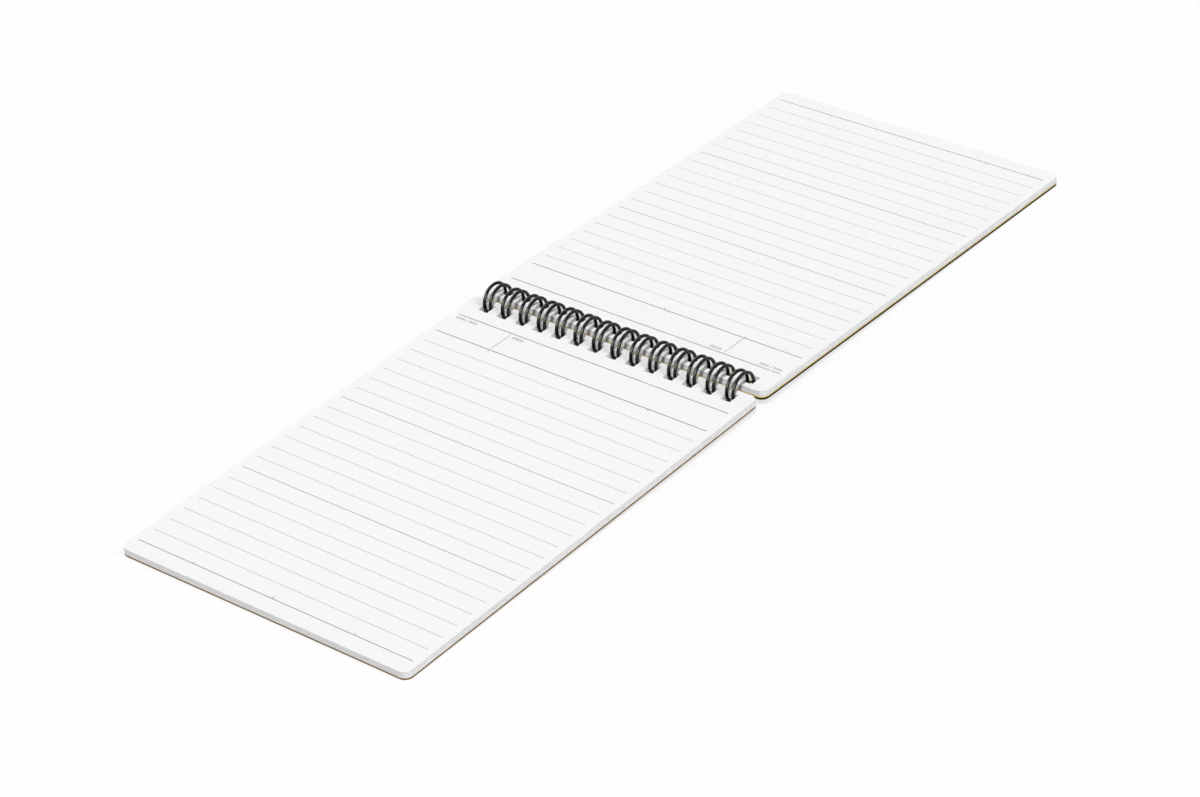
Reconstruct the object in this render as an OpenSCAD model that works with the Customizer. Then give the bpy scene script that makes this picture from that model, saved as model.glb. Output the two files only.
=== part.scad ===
// Twin-loop wire notebook, bound on its short edge and lying open.
// X runs along the binding, Y across it, Z up. The origin is the middle of the footprint.
// The wire rests on the table at the middle, so each half of the book slopes down to its outer edge.

/* [Sheets] */
// Width of a sheet, along the binding
sheet_w = 128; // [60:1:220]
// Length of a sheet, away from the binding
sheet_l = 182; // [80:1:320]
// Radius of the sheet corners
corner_r = 3; // [0.5:0.1:12]

/* [Thicknesses] */
// Stack of pages that remain on the back cover
pages_t = 2.4; // [0.3:0.1:12]
// Stack of pages that are turned over
turned_pages_t = 2.2; // [0.3:0.1:12]
// Board of the back cover
back_cover_t = 0.7; // [0.3:0.05:3]
// Board of the front cover
front_cover_t = 0.75; // [0.3:0.05:3]
// Sheet that lines the front cover
lining_t = 0.45; // [0.1:0.05:2]

/* [Wire] */
// Diameter of the wire
wire_d = 1.25; // [0.6:0.05:2]
// Distance from one twin loop to the next
loop_pitch = 8.467; // [7.5:0.001:14]
// Distance between the two wires of a twin loop, centre to centre
pair_w = 2.8; // [2:0.1:4]
// Inside radius of the bends where the wire turns along the binding
link_bend_r = 0.4; // [0.2:0.05:0.8]
// Extra thickness of the wire in its tight bends
bend_swell = 0.04; // [0.02:0.01:0.1]
// Angle of the seam around the loop, from the +Y side, counter-clockwise seen from +X
seam_at = 290; // [282:1:300]

/* [Punched holes] */
// Strip of sheet between the spine edge and a hole
hole_margin = 2.34; // [1.5:0.01:6]
// Least distance from a sheet's side edge to the middle of a twin loop
side_margin = 6; // [4:0.5:20]

/* [Clearances] */
// Gap between the spine edges of the two open halves
spine_gap = 2.8; // [0.5:0.1:6]
// Air between a stack of pages and the cover below it
stack_gap = 0.05; // [0.02:0.01:0.5]
// Gap between the two halves when the book is closed
closed_gap = 0.3; // [0.1:0.05:2]
// Height of the turned pages' face over the other pages' face, at the wire
face_step = 0.38; // [0:0.02:0.6]
// Clearance between the wire and the strip of sheet inside the loops
strip_play = 0.12; // [0.1:0.01:3]
// Clearance between the wire and the outer edge of a hole
hole_play = 2.27; // [0.3:0.01:5]
// Clearance between the wire and the side of a hole
side_play = 0.15; // [0.1:0.01:1]
// Clearance between the closed end of a loop and the bends at its base
seam_play = 0.3; // [0.1:0.05:1]

/* [Hidden] */
$fn = 24;
bend_lap = 0.1;
// Heights below the loop's axis, square to each half; the turned pages' face may lie just above it
face_drop = (closed_gap + face_step) / 2;
pages_drop = face_drop + pages_t;
back_drop = pages_drop + stack_gap + back_cover_t;
turned_face_drop = (closed_gap - face_step) / 2;
turned_drop = turned_face_drop + turned_pages_t;
lining_drop = turned_drop + stack_gap + lining_t;
front_drop = lining_drop + front_cover_t;

// The loop's inner radius clears the deepest corner of the strip inside it
spine_at = spine_gap / 2;
hole_start = spine_at + hole_margin;
loop_r = norm([hole_start, max(back_drop, front_drop)]) + strip_play + wire_d / 2;
hole_end = loop_r + wire_d / 2 + hole_play;
hole_w = pair_w + wire_d + 2 * side_play;
axis_z = loop_r + wire_d / 2;

// Twin loops that fit across the sheet
loops = 1 + floor((sheet_w - 2 * side_margin) / loop_pitch);
loop_x = [for (i = [0 : loops - 1]) (i - (loops - 1) / 2) * loop_pitch];

// Tight bends are a hair thicker than the wire, and each length of wire ends just inside them
bend_d = wire_d + bend_swell;
bend_r = link_bend_r + bend_d / 2;
lap_deg = bend_lap / loop_r * 180 / PI;

// Opening of each loop at the seam, where the closed end and the two bends curve towards each other
tip_r = pair_w / 2;
bend_x = tip_r + bend_r;
seam_l = sqrt(pow(bend_x + bend_d + seam_play, 2) - pow(bend_x, 2));
seam_deg = seam_l / loop_r * 180 / PI;
base_deg = seam_at + seam_deg / 2 - 360;
tip_deg = seam_at - seam_deg / 2;

outer_edge = spine_at + sheet_l;

// Slope that lets a half reach the table with the outer edge of its underside
function slope(drop) = asin(axis_z / norm([outer_edge, drop])) - atan2(drop, outer_edge);

// One punched sheet or stack in the +Y half's own plane, with its spine edge at y = spine_at
module sheet_outline() {
    difference() {
        union() {
            translate([-sheet_w / 2, spine_at + corner_r]) square([sheet_w, sheet_l - 2 * corner_r]);
            translate([corner_r - sheet_w / 2, spine_at]) square([sheet_w - 2 * corner_r, sheet_l]);
            for (x = [corner_r - sheet_w / 2, sheet_w / 2 - corner_r])
                for (y = [spine_at + corner_r, outer_edge - corner_r])
                    translate([x, y]) circle(r = corner_r);
        }
        for (x = loop_x)
            translate([x - hole_w / 2, hole_start]) square([hole_w, hole_end - hole_start]);
    }
}

module sheet_block(top, bottom) {
    translate([0, 0, -bottom]) linear_extrude(bottom - top) sheet_outline();
}

// Places a half's flat sheets around the loop's axis, sloping down to the table
module far_half() {
    translate([0, 0, axis_z]) rotate([-slope(front_drop), 0, 0]) children();
}

module near_half() {
    translate([0, 0, axis_z]) rotate([slope(back_drop), 0, 0]) mirror([0, 1, 0]) children();
}

module front_cover() {
    color("#1a1a1c") far_half() sheet_block(lining_drop, front_drop);
}

module front_cover_lining() {
    color("#e3c55a") far_half() sheet_block(turned_drop + stack_gap, lining_drop);
}

module turned_pages() {
    color("#f5f5f3") far_half() sheet_block(turned_face_drop, turned_drop);
}

module pages() {
    color("#f5f5f3") near_half() sheet_block(face_drop, pages_drop);
}

module back_cover() {
    color("#8f7a5c") near_half() sheet_block(pages_drop + stack_gap, back_drop);
}

// Arc of round wire in the XY plane, centred on the origin
module wire_arc(arc_r, turn, d = wire_d) {
    rotate_extrude(angle = turn) translate([arc_r, 0]) circle(d = d);
}

// In the loop's own frame the axis is Z, and X and Y stand for the part's Y and Z
module loop_wires() {
    for (side = [-1, 1])
        translate([0, 0, side * pair_w / 2])
            rotate([0, 0, base_deg - lap_deg]) wire_arc(loop_r, tip_deg - base_deg + 2 * lap_deg);
}

// Round closed end that joins the two wires of a loop
module loop_tip() {
    rotate([0, 0, tip_deg]) translate([loop_r, 0, 0]) rotate([0, -90, 0]) wire_arc(tip_r, 180, bend_d);
}

// Quarter bend from the loop to the binding's direction, starting at the given angle
module link_bend(start) {
    rotate([0, -90, 0]) rotate([0, 0, start]) wire_arc(bend_r, 90, bend_d);
}

// Length of wire from one loop's base to the next, bent along the binding at both ends
module loop_link() {
    run = loop_pitch - 2 * bend_x;
    rotate([0, 0, base_deg]) translate([loop_r, 0, bend_x]) {
        link_bend(180);
        translate([0, -bend_r, -bend_lap]) cylinder(d = wire_d, h = run + 2 * bend_lap);
        translate([0, 0, run]) link_bend(270);
    }
}

module binding_wire() {
    color("#1c1c1e") translate([0, 0, axis_z]) rotate([90, 0, 90])
        for (i = [0 : loops - 1])
            translate([0, 0, loop_x[i]]) {
                loop_wires();
                loop_tip();
                if (i < loops - 1) loop_link();
            }
}

front_cover();
front_cover_lining();
turned_pages();
pages();
back_cover();
binding_wire();
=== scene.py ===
"""Looks of a twin-loop wire notebook that lies open: ruled page stacks, covers and wire.

Lengths of the notebook and the floor are in millimetres until put_mesh() writes them in metres, and the lamps
and the camera are placed in metres. Each half of the book is worked out in its own plane: x runs along the
binding, u away from it, and h is the height over the middle of the wire.
"""
import math

import bpy
import numpy as np
from mathutils import Matrix, Vector
from mathutils.geometry import delaunay_2d_cdt


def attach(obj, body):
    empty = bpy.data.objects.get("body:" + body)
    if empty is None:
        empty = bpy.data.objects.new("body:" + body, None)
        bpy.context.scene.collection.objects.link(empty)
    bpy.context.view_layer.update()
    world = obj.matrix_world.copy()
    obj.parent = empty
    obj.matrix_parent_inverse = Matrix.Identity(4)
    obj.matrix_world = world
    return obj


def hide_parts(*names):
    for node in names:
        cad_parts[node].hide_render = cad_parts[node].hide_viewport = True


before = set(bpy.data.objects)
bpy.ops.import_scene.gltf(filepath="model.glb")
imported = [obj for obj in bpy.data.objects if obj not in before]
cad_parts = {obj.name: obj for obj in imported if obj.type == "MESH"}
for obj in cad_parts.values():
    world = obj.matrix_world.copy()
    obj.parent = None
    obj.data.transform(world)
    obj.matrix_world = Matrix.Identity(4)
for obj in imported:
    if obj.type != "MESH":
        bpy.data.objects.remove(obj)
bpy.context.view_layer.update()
chance = np.random.default_rng(14)

MM = 0.001

# Sizes of the part
SHEET_W, SHEET_L, CORNER_R = 128.0, 182.0, 3.0
PAGES_T, TURNED_PAGES_T = 2.4, 2.2
BACK_COVER_T, FRONT_COVER_T, LINING_T = 0.7, 0.75, 0.45
WIRE_D, LOOP_PITCH, PAIR_W, LINK_BEND_R, BEND_SWELL, SEAM_AT = 1.25, 8.467, 2.8, 0.4, 0.04, 290.0
HOLE_MARGIN, SIDE_MARGIN = 2.34, 6.0
SPINE_GAP, STACK_GAP, CLOSED_GAP, FACE_STEP = 2.8, 0.05, 0.3, 0.38
STRIP_PLAY, HOLE_PLAY, SIDE_PLAY, SEAM_PLAY = 0.12, 2.27, 0.15, 0.3

# Heights below the middle of the wire
FACE_DROP = (CLOSED_GAP + FACE_STEP) / 2
PAGES_DROP = FACE_DROP + PAGES_T
BACK_DROP = PAGES_DROP + STACK_GAP + BACK_COVER_T
TURNED_FACE_DROP = (CLOSED_GAP - FACE_STEP) / 2
TURNED_DROP = TURNED_FACE_DROP + TURNED_PAGES_T
LINING_DROP = TURNED_DROP + STACK_GAP + LINING_T
FRONT_DROP = LINING_DROP + FRONT_COVER_T

# Punched holes, and the wire that goes through them
SPINE_AT = SPINE_GAP / 2
OUTER_EDGE = SPINE_AT + SHEET_L
HOLE_START = SPINE_AT + HOLE_MARGIN
LOOP_R = math.hypot(HOLE_START, max(BACK_DROP, FRONT_DROP)) + STRIP_PLAY + WIRE_D / 2
HOLE_END = LOOP_R + WIRE_D / 2 + HOLE_PLAY
HOLE_W = PAIR_W + WIRE_D + 2 * SIDE_PLAY
AXIS_Z = LOOP_R + WIRE_D / 2
LOOPS = 1 + int((SHEET_W - 2 * SIDE_MARGIN) / LOOP_PITCH)
LOOP_X = (np.arange(LOOPS) - (LOOPS - 1) / 2) * LOOP_PITCH
TIP_R = PAIR_W / 2
BEND_R = LINK_BEND_R + (WIRE_D + BEND_SWELL) / 2
BEND_X = TIP_R + BEND_R
SEAM_L = math.sqrt((BEND_X + WIRE_D + BEND_SWELL + SEAM_PLAY) ** 2 - BEND_X ** 2)
SEAM_HALF = SEAM_L / LOOP_R / 2
BASE_ANGLE = math.radians(SEAM_AT - 360) + SEAM_HALF
TIP_ANGLE = math.radians(SEAM_AT) - SEAM_HALF

# Fine detail that the solids leave out: a sheet's slip and uneven edge, the groove between two sheets, and
# the radii of small corners and edges
SHEET_T = 0.1
SHEET_SLIP, EDGE_WAVE = 0.014, 0.006
SHEET_GROOVE, GROOVE_HALF = 0.035, 0.03
HOLE_CORNER_R, BOARD_EDGE_R, LINING_EDGE_R, WIRE_END_R = 0.35, 0.09, 0.04, 0.15

# Print on a page, measured from the middle of the wire
HEAD_LINE, FIRST_ROW, ROW_PITCH, ROWS, DARKER_EVERY = 14.51, 26.81, 7.15, 21, 7
RULE_HALF, RULE_W, HEAVY_W, HEAD_W = 61.2, 0.22, 0.26, 0.3
TICK_X, TICK_L = 36.15, 0.92
DIVIDER_FROM_HEAD, DIVIDER_FROM_ROW = 1.0, 0.6

# Noughts in the fields under the head line: where each row of them starts and how many it has, with a slash
# between the first two rows
NUMBER_H, NUMBER_W, NUMBER_LINE, NUMBER_STEP, NUMBER_FOOT, OVAL_STROKES = 1.35, 0.95, 0.2, 1.3, 2.6, 12
NOUGHT_ROWS = ((-60.6, 3), (-54.6, 3), (-34.1, 4))
SLASH_X, SLASH_U = (-56.5, -55.4), (2.7, 1.1)

# How finely the wire is cut: points along a loop, round its closed end, along a bend and along a straight
LOOP_POINTS, TIP_POINTS, BEND_POINTS, LINK_POINTS = 80, 19, 9, 8

# Corners of a cap that lie nearer than this become one
SAME_POINT = 1e-6

NEAR, FAR = -1, 1


def slope(drop):
    """Angle at which a half reaches the table: the axis height's angle less the underside's own angle."""
    return math.asin(AXIS_Z / math.hypot(OUTER_EDGE, drop)) - math.atan2(drop, OUTER_EDGE)


SLOPE = {NEAR: slope(BACK_DROP), FAR: slope(FRONT_DROP)}


def place(x, u, h, side):
    """Points of a half in the part's frame: (u, h) turned down by the half's slope, then mirrored if near."""
    turn = SLOPE[side]
    y = side * (u * math.cos(turn) + h * math.sin(turn))
    z = AXIS_Z - u * math.sin(turn) + h * math.cos(turn)
    return np.stack(np.broadcast_arrays(x, y, z), axis=-1)


def put_mesh(name, points, faces, materials, which=None, sharp=35):
    """Mesh object at the origin from points in mm, smooth but for edges that turn more than sharp degrees."""
    mesh = bpy.data.meshes.new(name)
    mesh.from_pydata(points * MM, [], faces)
    for material in materials:
        mesh.materials.append(material)
    if which is not None:
        mesh.polygons.foreach_set("material_index", which)
    mesh.polygons.foreach_set("use_smooth", np.ones(len(faces), bool))
    mesh.set_sharp_from_angle(angle=math.radians(sharp))
    mesh.update()
    piece = bpy.data.objects.new(name, mesh)
    bpy.context.scene.collection.objects.link(piece)
    return piece


def rounded_loop(x0, x1, u0, u1, radius, arc_steps, straight_step):
    """Points and outward normals around a rectangle with round corners, counter-clockwise in (x, u).

    Each corner is a quarter circle, and each straight is cut into equal lengths near straight_step.
    """
    points, normals = [], []
    corners = [(x1 - radius, u0 + radius), (x1 - radius, u1 - radius), (x0 + radius, u1 - radius),
               (x0 + radius, u0 + radius)]
    runs = [u1 - u0 - 2 * radius, x1 - x0 - 2 * radius]
    for k, centre in enumerate(corners):
        angle = math.pi / 2 * (k - 1 + np.arange(arc_steps + 1) / arc_steps)
        normal = np.stack([np.cos(angle), np.sin(angle)], axis=-1)
        arc = np.array(centre) + radius * normal
        cuts = max(1, round(runs[k % 2] / straight_step))
        along = np.arange(1, cuts)[:, None] / cuts
        ahead = np.array(corners[(k + 1) % 4]) + radius * normal[-1]
        points += [arc, arc[-1] * (1 - along) + ahead * along]
        normals += [normal, np.repeat(normal[-1:], cuts - 1, axis=0)]
    return np.concatenate(points), np.concatenate(normals)


def sheet_loops():
    """Outline of a punched sheet: the outer edge counter-clockwise, then each hole clockwise."""
    loops = [rounded_loop(-SHEET_W / 2, SHEET_W / 2, SPINE_AT, OUTER_EDGE, CORNER_R,
                          arc_steps=10, straight_step=6.0)]
    for x in LOOP_X:
        points, normals = rounded_loop(x - HOLE_W / 2, x + HOLE_W / 2, HOLE_START, HOLE_END, HOLE_CORNER_R,
                                       arc_steps=3, straight_step=3.0)
        loops.append((points[::-1], -normals[::-1]))
    return loops


OUTLINE = sheet_loops()
OUTLINE_POINTS = np.concatenate([points for points, _ in OUTLINE])
OUTLINE_NORMALS = np.concatenate([normals for _, normals in OUTLINE])
OUTLINE_SIZES = [len(points) for points, _ in OUTLINE]
OUTLINE_STARTS = np.cumsum([0] + OUTLINE_SIZES[:-1])
OUTLINE_NEXT = np.concatenate(
    [start + (np.arange(size) + 1) % size for start, size in zip(OUTLINE_STARTS, OUTLINE_SIZES)])


def inside_rim(spots, rim):
    """True for each (x, u) that has an odd number of the rim's edges on its +u side."""
    ahead = rim[OUTLINE_NEXT]
    run, rise = (ahead - rim).T
    x, u = spots[:, :1], spots[:, 1:]
    spans = (rim[:, 0] > x) != (ahead[:, 0] > x)
    edge_u = rim[:, 1] + (x - rim[:, 0]) * rise / np.where(run == 0, 1, run)
    return (spans & (edge_u > u)).sum(axis=1) % 2 == 1


def cap(rim, marks, shades):
    """Flat face inside the rim's loops, cut along the marks.

    Constrained Delaunay triangles join the rim and the corners of each mark, a four-sided (x, u) shape.
    Returns the added points, the triangles, and the shade of each, 0 where no mark covers it.
    """
    count = len(rim)
    corners = np.concatenate([rim, *marks])
    edges = np.stack([np.arange(count), OUTLINE_NEXT], axis=-1)
    around = np.array([[0, 1], [1, 2], [2, 3], [3, 0]])
    edges = np.concatenate([edges] + [count + 4 * k + around for k in range(len(marks))])
    spots, _, faces, sources, _, _ = delaunay_2d_cdt(
        corners.tolist(), edges.tolist(), [], 0, SAME_POINT, True)
    spots, faces = np.array(spots), np.array(faces)
    index = np.empty(len(spots), int)
    from_rim = np.array([min(source, default=count) for source in sources])
    on_rim = from_rim < count
    index[on_rim] = from_rim[on_rim]
    index[~on_rim] = count + np.arange((~on_rim).sum())
    middles = spots[faces].mean(axis=1)
    kept = inside_rim(middles, rim)
    faces, middles = faces[kept], middles[kept]
    shade = np.zeros(len(faces), int)
    for mark, tone in zip(marks, shades):
        ahead = np.roll(mark, -1, axis=0) - mark
        away = middles[:, None] - mark
        turns = ahead[:, 0] * away[..., 1] - ahead[:, 1] * away[..., 0]
        shade[(turns > 0).all(axis=1) | (turns < 0).all(axis=1)] = tone
    return spots[~on_rim], index[faces], shade


def sheet_body(name, side, rows, materials, prints=(((), ()), ((), ()))):
    """Closed punched sheet or stack: the outline carried down a list of rows, with a flat cap at each end.

    A row is (height, slip in x, slip in u, how far the outline grows), and grow may differ along the outline.
    The prints are the marks and shades of the top cap and of the bottom cap.
    """
    heights = np.array([row[0] for row in rows])
    slips = np.array([row[1:3] for row in rows])
    grows = np.array([np.broadcast_to(row[3], len(OUTLINE_POINTS)) for row in rows])
    flat = OUTLINE_POINTS + slips[:, None] + grows[..., None] * OUTLINE_NORMALS
    count = len(OUTLINE_POINTS)
    walls = place(flat[..., 0], flat[..., 1], heights[:, None], side).reshape(-1, 3)
    here, ahead = np.arange(count), OUTLINE_NEXT
    steps = count * np.arange(len(rows) - 1)[:, None]
    quads = np.stack([here + steps, here + steps + count, ahead + steps + count, ahead + steps], axis=-1)
    quads = quads.reshape(-1, 4)

    points, faces, which = walls, quads.tolist(), [np.zeros(len(quads), int)]
    for row, order, (marks, shades) in ((0, 1, prints[0]), (len(rows) - 1, -1, prints[1])):
        added, triangles, shade = cap(flat[row], marks, shades)
        triangles = np.where(triangles < count, triangles + count * row, triangles - count + len(points))
        faces += triangles[:, ::order].tolist()
        which.append(shade)
        points = np.concatenate([points, place(added[:, 0], added[:, 1], heights[row], side).reshape(-1, 3)])
    if side == NEAR:
        faces = [face[::-1] for face in faces]
    return put_mesh(name, points, faces, materials, np.concatenate(which).astype(np.int32))


def stack_rows(top_drop, bottom_drop):
    """Rows of a stack of sheets: each sheet slips a little, and a groove parts it from the next."""
    sheets = round((bottom_drop - top_drop) / SHEET_T)
    thickness = (bottom_drop - top_drop) / sheets
    groove = GROOVE_HALF * thickness / SHEET_T
    rows = []
    for k in range(sheets):
        slip = np.clip(chance.normal(0, SHEET_SLIP, 2), -2 * SHEET_SLIP, 2 * SHEET_SLIP)
        wave = chance.normal(0, EDGE_WAVE, len(OUTLINE_POINTS))
        wave[OUTLINE_SIZES[0]:] = 0
        upper = -top_drop - k * thickness
        lower = upper - thickness
        if k:
            rows.append((upper, *slip, -SHEET_GROOVE))
            rows.append((upper - groove, *slip, wave))
        else:
            rows.append((upper, *slip, wave))
        rows.append((lower + groove * (k < sheets - 1), *slip, wave))
    return rows


def board_rows(top_drop, bottom_drop, edge_r):
    """Rows of one board or sheet whose cut edges are rounded by a quarter circle of three steps."""
    angle = np.radians([0, 30, 60, 90])
    inset, down = edge_r * (1 - np.sin(angle)), edge_r * (1 - np.cos(angle))
    upper = [(-top_drop - d, 0, 0, -i) for d, i in zip(down, inset)]
    lower = [(-bottom_drop + d, 0, 0, -i) for d, i in zip(down[::-1], inset[::-1])]
    return upper + lower


def stroke(x0, u0, x1, u1, width):
    """Four corners of a straight stroke of ink, square at its ends."""
    along = np.array([x1 - x0, u1 - u0])
    across = np.array([-along[1], along[0]]) / np.hypot(*along) * width / 2
    start, end = np.array([x0, u0]), np.array([x1, u1])
    return np.array([start - across, end - across, end + across, start + across])


def number_strokes(x, u):
    """Strokes of a plain nought whose box starts at x and whose foot is at u: short strokes round an oval."""
    turn = np.linspace(0, 2 * math.pi, OVAL_STROKES + 1)
    ring_x = x + NUMBER_W / 2 + (NUMBER_W - NUMBER_LINE) / 2 * np.cos(turn)
    ring_u = u - NUMBER_H / 2 + (NUMBER_H - NUMBER_LINE) / 2 * np.sin(turn)
    return [stroke(ring_x[k], ring_u[k], ring_x[k + 1], ring_u[k + 1], NUMBER_LINE)
            for k in range(OVAL_STROKES)]


def page_print(side):
    """Marks and shades of a page: head line, ruled rows, ticks, a divider, and noughts for the two fields.

    Shade 1 is the darkest ink, 2 the middle one and 3 the palest. The far page carries the same print turned
    about, which in its own plane is the print with x reversed.
    """
    marks, shades = [], []

    def add_mark(mark, shade):
        marks.append(mark * (-side, 1))
        shades.append(shade)

    last_row = FIRST_ROW + ROWS * ROW_PITCH
    add_mark(stroke(-RULE_HALF, HEAD_LINE, RULE_HALF, HEAD_LINE, HEAD_W), 1)
    for k in range(ROWS + 1):
        row = FIRST_ROW + k * ROW_PITCH
        shade = 1 if k in (0, ROWS) else 2 if k % DARKER_EVERY == 0 else 3
        width = {0: HEAD_W, ROWS: HEAVY_W}.get(k, RULE_W)
        add_mark(stroke(-RULE_HALF, row, RULE_HALF, row, width), shade)
    for x in (-TICK_X, 0, TICK_X):
        add_mark(stroke(x, FIRST_ROW + HEAVY_W, x, FIRST_ROW + TICK_L, HEAVY_W), 1)
        add_mark(stroke(x, last_row - TICK_L, x, last_row - HEAVY_W, HEAVY_W), 1)
    divider_u = (HEAD_LINE + DIVIDER_FROM_HEAD, FIRST_ROW - DIVIDER_FROM_ROW)
    add_mark(stroke(-TICK_X, divider_u[0], -TICK_X, divider_u[1], RULE_W), 2)
    for start, count in NOUGHT_ROWS:
        for k in range(count):
            for mark in number_strokes(start + k * NUMBER_STEP, HEAD_LINE + NUMBER_FOOT):
                add_mark(mark, 1)
    slash_u = (HEAD_LINE + SLASH_U[0], HEAD_LINE + SLASH_U[1])
    add_mark(stroke(SLASH_X[0], slash_u[0], SLASH_X[1], slash_u[1], NUMBER_LINE), 1)
    return marks, shades


def wire_path():
    """Middle line of the wire and the loop's radial direction along it.

    For each loop in turn it runs up one wire from base to tip, round the closed end, down the other wire,
    and along a bend, a straight and a bend to the next base. Angles are about the loops' axis.
    """
    lines, radials = [], []

    def run(x, along, angle):
        """Adds points at x, a distance along the tangent from the point of the loop at that angle."""
        x, along, angle = np.broadcast_arrays(x, along, angle)
        radial = np.stack([np.zeros_like(angle), np.cos(angle), np.sin(angle)], axis=-1)
        tangent = np.stack([np.zeros_like(angle), -np.sin(angle), np.cos(angle)], axis=-1)
        middle = np.stack([x, np.zeros_like(x), np.full_like(x, AXIS_Z)], axis=-1)
        lines.append(middle + LOOP_R * radial + along[:, None] * tangent)
        radials.append(radial)

    sweep = np.linspace(BASE_ANGLE, TIP_ANGLE, LOOP_POINTS)
    end = np.linspace(-math.pi / 2, math.pi / 2, TIP_POINTS)[1:-1]
    bend = np.linspace(0, math.pi / 2, BEND_POINTS)[1:]
    for k, x in enumerate(LOOP_X):
        run(x - TIP_R, 0.0, sweep)
        run(x + TIP_R * np.sin(end), TIP_R * np.cos(end), TIP_ANGLE)
        run(x + TIP_R, 0.0, sweep[::-1])
        if k < LOOPS - 1:
            far_bend = LOOP_X[k + 1] - BEND_X
            run(x + BEND_X - BEND_R * np.cos(bend), -BEND_R * np.sin(bend), BASE_ANGLE)
            run(np.linspace(x + BEND_X, far_bend, LINK_POINTS)[1:-1], -BEND_R, BASE_ANGLE)
            run(far_bend + BEND_R * np.sin(bend[:-1]), -BEND_R * np.cos(bend[:-1]), BASE_ANGLE)
    return np.concatenate(lines), np.concatenate(radials)


def wire_body(name, material, sides=20):
    """Round wire carried along its path: a circle across each point, and at each end three smaller circles.

    A circle lies in the plane of the radial direction and of the cross product of path and radial. The end
    circles follow a small quarter circle, as the cut end is slightly rounded.
    """
    line, radial = wire_path()
    path = np.gradient(line, axis=0)
    path /= np.linalg.norm(path, axis=1, keepdims=True)
    angle = np.radians([90, 60, 30])
    narrow = WIRE_D / 2 - WIRE_END_R + WIRE_END_R * np.cos(angle)
    shrink = np.concatenate([narrow, np.full(len(line), WIRE_D / 2), narrow[::-1]])
    start = line[0] - path[0] * WIRE_END_R * np.sin(angle)[:, None]
    end = line[-1] + path[-1] * WIRE_END_R * np.sin(angle[::-1])[:, None]
    line = np.concatenate([start, line, end])
    ends = ((len(angle), len(angle)), (0, 0))
    path, radial = np.pad(path, ends, mode="edge"), np.pad(radial, ends, mode="edge")
    across = np.cross(path, radial)
    turn = np.linspace(0, 2 * math.pi, sides, endpoint=False)[:, None]
    ring = np.cos(turn) * radial[:, None] + np.sin(turn) * across[:, None]
    points = (line[:, None] + shrink[:, None, None] * ring).reshape(-1, 3)
    here, ahead = np.arange(sides), (np.arange(sides) + 1) % sides
    steps = sides * np.arange(len(line) - 1)[:, None]
    quads = np.stack([here + steps, ahead + steps, ahead + steps + sides, here + steps + sides], axis=-1)
    points = np.concatenate([points, line[:1], line[-1:]])
    first, last = len(points) - 2, len(points) - 1
    tail = sides * (len(line) - 1)
    faces = quads.reshape(-1, 4).tolist()
    faces += np.stack([ahead, here, np.full(sides, first)], axis=-1).tolist()
    faces += np.stack([here + tail, ahead + tail, np.full(sides, last)], axis=-1).tolist()
    return put_mesh(name, points, faces, [material], sharp=50)


def linear(hex_colour):
    """Linear RGBA of an sRGB hex colour, by the sRGB curve."""
    parts = np.array([int(hex_colour[k:k + 2], 16) for k in (1, 3, 5)]) / 255
    low = parts / 12.92
    high = ((parts + 0.055) / 1.055) ** 2.4
    return (*np.where(parts <= 0.04045, low, high).tolist(), 1.0)


def add(tree, kind, inputs=(), **settings):
    """Adds a node with its own settings, and sets each input to a value or links it to a socket."""
    made = tree.nodes.new(kind)
    for name, value in settings.items():
        setattr(made, name, value)
    for name, value in dict(inputs).items():
        if isinstance(value, bpy.types.NodeSocket):
            tree.links.new(value, made.inputs[name])
        else:
            made.inputs[name].default_value = value
    return made


def per_metre(size_mm):
    """Scale of a pattern on coordinates in metres whose features are that many millimetres across."""
    return 1 / (size_mm * MM)


def new_material(name):
    """Empty node material with its output, and its tree."""
    material = bpy.data.materials.new(name)
    material.use_nodes = True
    material.node_tree.nodes.clear()
    return material, material.node_tree


def finish_material(tree, inputs):
    """Principled surface with these inputs on the material's output."""
    surface = add(tree, "ShaderNodeBsdfPrincipled", inputs)
    add(tree, "ShaderNodeOutputMaterial", {"Surface": surface.outputs["BSDF"]})


# A cloud in paper is so many fibres across, and the clouds give this share of its mottle
CLOUD_FIBRES, CLOUD_SHARE = 12, 0.35


def fibre_material(name, base, fleck, fibre_mm, relief_mm, roughness, specular, fleck_share=0.35):
    """Pressed fibres: two colours mixed by soft clouds and fine fibres, with the fibres raised a little."""
    material, tree = new_material(name)
    where = add(tree, "ShaderNodeTexCoord").outputs["Object"]
    clouds = add(tree, "ShaderNodeTexNoise",
                 {"Vector": where, "Scale": per_metre(fibre_mm * CLOUD_FIBRES), "Detail": 2.0})
    fibres = add(tree, "ShaderNodeTexNoise", {"Vector": where, "Scale": per_metre(fibre_mm), "Detail": 5.0,
                                              "Roughness": 0.6, "Distortion": 0.8})
    cloudy = add(tree, "ShaderNodeMath", {0: clouds.outputs["Fac"], 1: CLOUD_SHARE}, operation="MULTIPLY")
    mixed = add(tree, "ShaderNodeMath", {0: fibres.outputs["Fac"], 1: 1 - CLOUD_SHARE, 2: cloudy.outputs[0]},
                operation="MULTIPLY_ADD")
    ramp = add(tree, "ShaderNodeValToRGB", {"Fac": mixed.outputs[0]})
    ramp.color_ramp.elements[0].position = 0.5 - fleck_share / 2
    ramp.color_ramp.elements[0].color = linear(fleck)
    ramp.color_ramp.elements[1].position = 0.5 + fleck_share / 2
    ramp.color_ramp.elements[1].color = linear(base)
    bump = add(tree, "ShaderNodeBump",
               {"Height": fibres.outputs["Fac"], "Distance": relief_mm * MM, "Strength": 1.0})
    finish_material(tree, {"Base Color": ramp.outputs["Color"], "Roughness": roughness,
                           "Specular IOR Level": specular, "Normal": bump.outputs["Normal"]})
    return material


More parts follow.
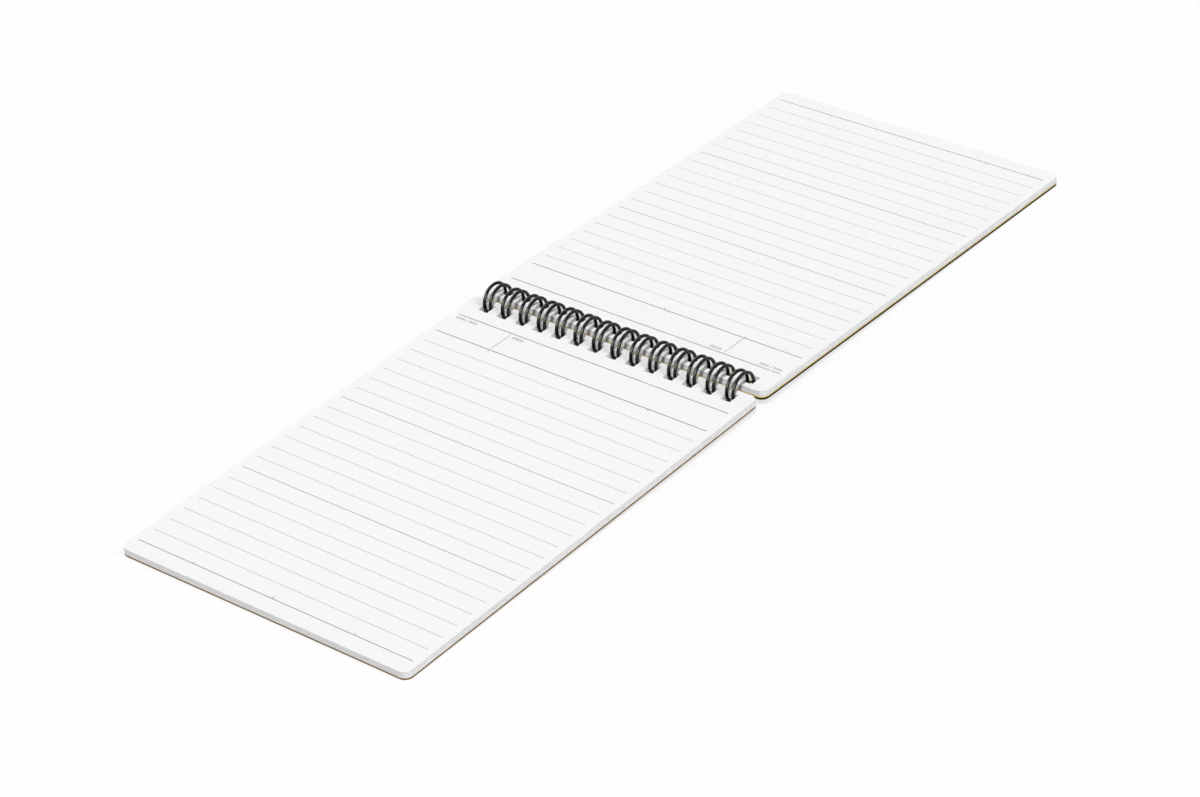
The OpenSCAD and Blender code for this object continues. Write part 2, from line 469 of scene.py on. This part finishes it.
# Uncoated offset paper, bleached and calendered: it looks matt and evenly white, with faint clouds in its
# fibres
page_paper = fibre_material("uncoated_offset_paper", "#F7F7F7", "#F3F3F3",
                            fibre_mm=0.3, relief_mm=0.004, roughness=0.9, specular=0.2)

# Grey ink printed on that paper: it sinks in, so it is as matt as the paper and its tone is slightly uneven
dark_ink = fibre_material("printed_ink_dark_grey", "#424240", "#383836",
                          fibre_mm=0.12, relief_mm=0.004, roughness=0.85, specular=0.2)
middle_ink = fibre_material("printed_ink_grey", "#6C6C6A", "#60605E",
                            fibre_mm=0.12, relief_mm=0.004, roughness=0.85, specular=0.2)
pale_ink = fibre_material("printed_ink_pale_grey", "#B4B4B2", "#AAAAA8",
                          fibre_mm=0.12, relief_mm=0.004, roughness=0.85, specular=0.2)

# Dyed yellow paper: the dye takes more in some fibres, which gives a faint mottle
lining_paper = fibre_material("dyed_yellow_paper", "#E9CF6C", "#DDBE55",
                              fibre_mm=0.25, relief_mm=0.006, roughness=0.85, specular=0.25)

# Mass-dyed black board, pressed smooth: nearly black and matt, with a soft sheen at a low angle
black_board = fibre_material("dyed_black_board", "#0E0E10", "#08080A",
                             fibre_mm=0.35, relief_mm=0.008, roughness=0.7, specular=0.15)

# Grey-brown chipboard from waste paper: flecked with darker and paler fibres, and dull
brown_board = fibre_material("waste_paper_chipboard", "#A07E46", "#7C6032",
                             fibre_mm=0.5, relief_mm=0.02, roughness=0.9, specular=0.2, fleck_share=0.5)

# The drawn wire's coat is uneven over this length and by this height
COAT_WAVE_MM, COAT_RELIEF_MM = 0.9, 0.002


def coated_wire_material():
    """Low-carbon steel wire under a baked black coat: glossy, and drawn slightly uneven."""
    material, tree = new_material("black_coated_steel_wire")
    where = add(tree, "ShaderNodeTexCoord").outputs["Object"]
    flow = add(tree, "ShaderNodeTexNoise", {"Vector": where, "Scale": per_metre(COAT_WAVE_MM), "Detail": 2.0})
    bump = add(tree, "ShaderNodeBump",
               {"Height": flow.outputs["Fac"], "Distance": COAT_RELIEF_MM * MM, "Strength": 1.0})
    shine = add(tree, "ShaderNodeMapRange", {"Value": flow.outputs["Fac"], "To Min": 0.12, "To Max": 0.2})
    finish_material(tree, {"Base Color": linear("#050506"), "Roughness": shine.outputs["Result"],
                           "IOR": 1.5, "Specular IOR Level": 0.25, "Normal": bump.outputs["Normal"]})
    return material


coated_wire = coated_wire_material()


def dress(piece, body, node):
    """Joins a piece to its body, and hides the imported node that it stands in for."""
    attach(piece, body)
    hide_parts(node)


inks = [page_paper, dark_ink, middle_ink, pale_ink]
upright, reversed_print = page_print(NEAR), page_print(FAR)
pages_rows = stack_rows(FACE_DROP, PAGES_DROP)
turned_rows = stack_rows(TURNED_FACE_DROP, TURNED_DROP)
back_rows = board_rows(PAGES_DROP + STACK_GAP, BACK_DROP, BOARD_EDGE_R)
front_rows = board_rows(LINING_DROP, FRONT_DROP, BOARD_EDGE_R)
lining_rows = board_rows(TURNED_DROP + STACK_GAP, LINING_DROP, LINING_EDGE_R)
wire = wire_body("twin_loop_wire", coated_wire)
dress(sheet_body("pages_sheets", NEAR, pages_rows, inks, (upright, reversed_print)),
      "remaining_pages", "pages")
dress(sheet_body("turned_pages_sheets", FAR, turned_rows, inks, (reversed_print, upright)),
      "turned_stack", "turned_pages")
dress(sheet_body("back_cover_board", NEAR, back_rows, [brown_board]), "base", "back_cover")
dress(sheet_body("front_cover_board", FAR, front_rows, [black_board]), "cover", "front_cover")
dress(sheet_body("lining_sheet", FAR, lining_rows, [lining_paper]),
      "cover", "front_cover_lining")
dress(wire, "base", "binding_wire")


def own_rays(tree):
    """1 for camera, glossy and transmission rays, and 0 for the rays that light the object."""
    rays = add(tree, "ShaderNodeLightPath")
    both = add(tree, "ShaderNodeMath", {0: rays.outputs["Is Camera Ray"], 1: rays.outputs["Is Glossy Ray"]},
               operation="MAXIMUM")
    return add(tree, "ShaderNodeMath", {0: both.outputs[0], 1: rays.outputs["Is Transmission Ray"]},
               operation="MAXIMUM").outputs[0]


# The ground looks white, keeps a faint shadow, and lights the object as a grey one does. GROUND_LIFT is the
# share of its own look that is plain white whatever falls on it.
GROUND_WHITE, GROUND_GREY = "#FDFDFD", "#989898"
GROUND_LIFT = 0.75


def floor_material():
    """Matt floor: grey for the rays that light the object, and mostly plain white for the others."""
    material, tree = new_material("matt_white_floor")
    seen = own_rays(tree)
    colour = add(tree, "ShaderNodeMixRGB",
                 {"Fac": seen, "Color1": linear(GROUND_GREY), "Color2": linear(GROUND_WHITE)})
    matt = add(tree, "ShaderNodeBsdfDiffuse", {"Color": colour.outputs["Color"]})
    plain = add(tree, "ShaderNodeEmission", {"Color": linear(GROUND_WHITE), "Strength": 1.0})
    lift = add(tree, "ShaderNodeMath", {0: seen, 1: GROUND_LIFT}, operation="MULTIPLY")
    both = add(tree, "ShaderNodeMixShader", {0: lift.outputs[0], 1: matt.outputs[0], 2: plain.outputs[0]})
    add(tree, "ShaderNodeOutputMaterial", {"Surface": both.outputs[0]})
    return material


FLOOR_HALF = 6000.0
floor_corners = np.array([[-1, -1, 0], [1, -1, 0], [1, 1, 0], [-1, 1, 0]]) * FLOOR_HALF
put_mesh("floor", floor_corners, [[0, 1, 2, 3]], [floor_material()])

# Even white dome and three round lamps far away. A share is how much of plain white a facing white surface
# sends back, a width is how wide the lamp stands in the sky in degrees, and the rest is the way towards it.
DOME = 0.12
LAMPS = {"front_lamp": (0.775, 8, (0.33, -0.46, 0.82)), "side_lamp": (0.31, 23, (0.65, 0.2, 0.73)),
         "back_lamp": (0.08, 50, (-0.8, 0.45, 0.4))}

# Bright strips that only show as gloss on the wire: brightness, width and height in degrees, and the way
STRIPS = {"front_strip": (28.0, 16, 34, (0.573, -0.717, 0.399)),
          "front_left_strip": (28.0, 16, 34, (-0.575, -0.685, 0.445)),
          "left_strip": (12.0, 50, 18, (-0.72, 0.18, 0.62))}

# How far off the lamps and strips hang, in metres
LAMP_AWAY = 6.0


def light_dome():
    """World that looks plain white and lights the object with the dome's share."""
    world = bpy.data.worlds.new("studio")
    bpy.context.scene.world = world
    world.use_nodes = True
    tree = world.node_tree
    tree.nodes.clear()
    strength = add(tree, "ShaderNodeMapRange", {"Value": own_rays(tree), "To Min": DOME, "To Max": 1.0})
    sky = add(tree, "ShaderNodeBackground", {"Color": (1, 1, 1, 1), "Strength": strength.outputs["Result"]})
    add(tree, "ShaderNodeOutputWorld", {"Surface": sky.outputs["Background"]})


def hang_lamp(name, kind, towards):
    """Lamp that stands in the given direction and shines at the origin, with its object."""
    lamp = bpy.data.lights.new(name, kind)
    hung = bpy.data.objects.new(name, lamp)
    aim = Vector(towards).normalized()
    hung.matrix_world = Matrix.Translation(aim * LAMP_AWAY) @ aim.to_track_quat("Z", "Y").to_matrix().to_4x4()
    bpy.context.scene.collection.objects.link(hung)
    return lamp, hung


def strip_side(degrees):
    """Length that stands that many degrees wide at the strips' distance."""
    return 2 * LAMP_AWAY * math.tan(math.radians(degrees / 2))


light_dome()
for name, (share, width, towards) in LAMPS.items():
    lamp, hung = hang_lamp(name, "SUN", towards)
    lamp.energy = share * math.pi
    lamp.angle = math.radians(width)
    hung.visible_glossy = False

# Only what is in this collection is lit by the strips
shiny = bpy.data.collections.new("shiny")
shiny.objects.link(wire)
for name, (brightness, width, height, towards) in STRIPS.items():
    lamp, hung = hang_lamp(name, "AREA", towards)
    lamp.shape = "RECTANGLE"
    lamp.size, lamp.size_y = strip_side(width), strip_side(height)
    lamp.energy = brightness * math.pi * lamp.size * lamp.size_y
    hung.visible_diffuse = False
    hung.visible_camera = False
    hung.light_linking.receiver_collection = shiny

# Camera at the photograph's place: focal length in pixels of a frame 1200 wide, then its place and directions
FRAME_PX, FOCAL_PX, SENSOR = 1200, 3772.8544, 36.0
CAMERA_AT = (0.754412, -0.838685, 0.704629)
CAMERA_RIGHT = (0.7705422941, 0.6321687741, -0.0814077026)
CAMERA_DOWN = (0.2896888708, -0.4611052381, -0.8387266047)
CAMERA_AHEAD = (-0.5677542876, 0.6226914167, -0.5384333463)
camera_data = bpy.data.cameras.new("camera")
camera_data.sensor_fit = "HORIZONTAL"
camera_data.sensor_width = SENSOR
camera_data.lens = FOCAL_PX * SENSOR / FRAME_PX
camera = bpy.data.objects.new("camera", camera_data)
turn = Matrix((CAMERA_RIGHT, [-v for v in CAMERA_DOWN], [-v for v in CAMERA_AHEAD])).transposed()
camera.matrix_world = Matrix.Translation(CAMERA_AT) @ turn.to_4x4()
bpy.context.scene.collection.objects.link(camera)
bpy.context.scene.camera = camera

bpy.context.scene.view_settings.view_transform = "Standard"

bpy.context.view_layer.update()
